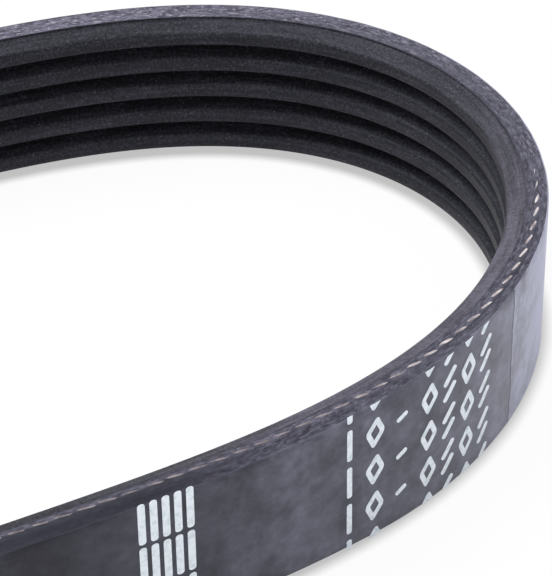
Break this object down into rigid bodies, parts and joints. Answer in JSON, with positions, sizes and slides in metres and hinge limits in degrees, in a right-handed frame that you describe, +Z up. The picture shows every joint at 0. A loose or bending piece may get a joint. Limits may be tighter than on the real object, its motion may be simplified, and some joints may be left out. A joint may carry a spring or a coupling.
{
  "type": "serpentine belt",
  "caption": "Multi-rib rubber drive belt for an engine's accessories: smooth back outside, V-shaped ribs inside, with the tensile cord open along the cut edges.",
  "frame": {"origin": "on the surface that the belt stands on, under the middle of the loop", "axes": "+X along the loop's long axis, +Y across the loop, +Z up along the belt's width"},
  "size_m": [0.2444, 0.0792, 0.0178],
  "materials": {
    "belt_rubber": "matt black vulcanised rubber, ground ribs, knife-cut edges",
    "tensile_cord": "twisted polyester cord, cut open, pale with a pink tinge"
  },
  "bodies": {
    "root": {"belt_body": "belt_rubber", "tensile_cord_top_edge": "tensile_cord", "tensile_cord_bottom_edge": "tensile_cord"}
  },
  "joints": []
}
